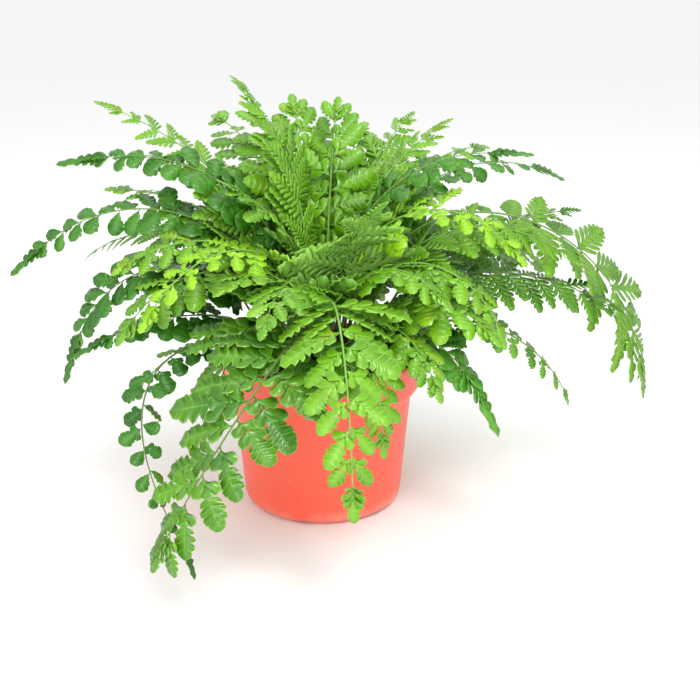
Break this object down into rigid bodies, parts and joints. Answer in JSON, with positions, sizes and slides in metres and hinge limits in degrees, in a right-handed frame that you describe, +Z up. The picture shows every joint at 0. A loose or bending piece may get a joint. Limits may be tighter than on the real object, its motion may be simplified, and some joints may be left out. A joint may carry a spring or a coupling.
{
  "type": "potted fern",
  "caption": "Potted mother fern: a tapered plastic nursery pot with a stepped collar, filled with soil, and a dense crown of arching, finely cut fronds.",
  "frame": {"origin": "centre of the pot's underside, on the face it rests on", "axes": "+Z up; -Y towards the front of the plant, where the long broad fronds hang over the pot; +X to the right seen from the front"},
  "size_m": [0.3593, 0.3336, 0.2466],
  "materials": {
    "pot_plastic": "smooth coral orange injection-moulded plastic, half matt",
    "soil": "dark, crumbly, moist peat compost",
    "crown_scales": "dark brown papery scales on a short rhizome",
    "broad_leaf": "glossy mid green leaflets, paler ribs and stalk",
    "narrow_leaf": "dark green half-glossy leaflets",
    "feathery_leaf": "finely cut olive green leaflets",
    "young_leaf": "bright lime green, soft and fresh"
  },
  "bodies": {
    "root": {"nursery_pot": "pot_plastic", "potting_soil": "soil", "crown": "crown_scales", "feathery_frond_01": "feathery_leaf", "narrow_frond_02": "narrow_leaf", "narrow_frond_03": "narrow_leaf", "narrow_frond_04": "narrow_leaf", "broad_frond_05": "broad_leaf", "young_frond_06": "young_leaf", "narrow_frond_07": "narrow_leaf", "narrow_frond_08": "narrow_leaf", "broad_frond_09": "broad_leaf", "broad_frond_10": "broad_leaf", "broad_frond_11": "broad_leaf", "feathery_frond_12": "feathery_leaf", "feathery_frond_13": "feathery_leaf", "broad_frond_14": "broad_leaf", "broad_frond_15": "broad_leaf", "narrow_frond_16": "narrow_leaf", "feathery_frond_17": "feathery_leaf", "feathery_frond_18": "feathery_leaf", "feathery_frond_19": "feathery_leaf", "young_frond_20": "young_leaf", "broad_frond_21": "broad_leaf", "broad_frond_22": "broad_leaf", "narrow_frond_23": "narrow_leaf", "broad_frond_24": "broad_leaf", "feathery_frond_25": "feathery_leaf", "broad_frond_26": "broad_leaf", "broad_frond_27": "broad_leaf", "feathery_frond_28": "feathery_leaf", "narrow_frond_29": "narrow_leaf", "broad_frond_30": "broad_leaf", "feathery_frond_31": "feathery_leaf", "narrow_frond_32": "narrow_leaf", "broad_frond_33": "broad_leaf", "narrow_frond_34": "narrow_leaf", "broad_frond_35": "broad_leaf", "feathery_frond_36": "feathery_leaf", "feathery_frond_37": "feathery_leaf", "broad_frond_38": "broad_leaf", "broad_frond_39": "broad_leaf", "broad_frond_40": "broad_leaf", "broad_frond_41": "broad_leaf", "broad_frond_42": "broad_leaf", "broad_frond_43": "broad_leaf", "narrow_frond_44": "narrow_leaf", "feathery_frond_45": "feathery_leaf", "broad_frond_46": "broad_leaf", "broad_frond_47": "broad_leaf", "broad_frond_48": "broad_leaf", "broad_frond_49": "broad_leaf", "broad_frond_50": "broad_leaf", "crozier_1": "young_leaf", "crozier_2": "young_leaf", "crozier_3": "young_leaf", "crozier_4": "young_leaf"}
  },
  "joints": []
}
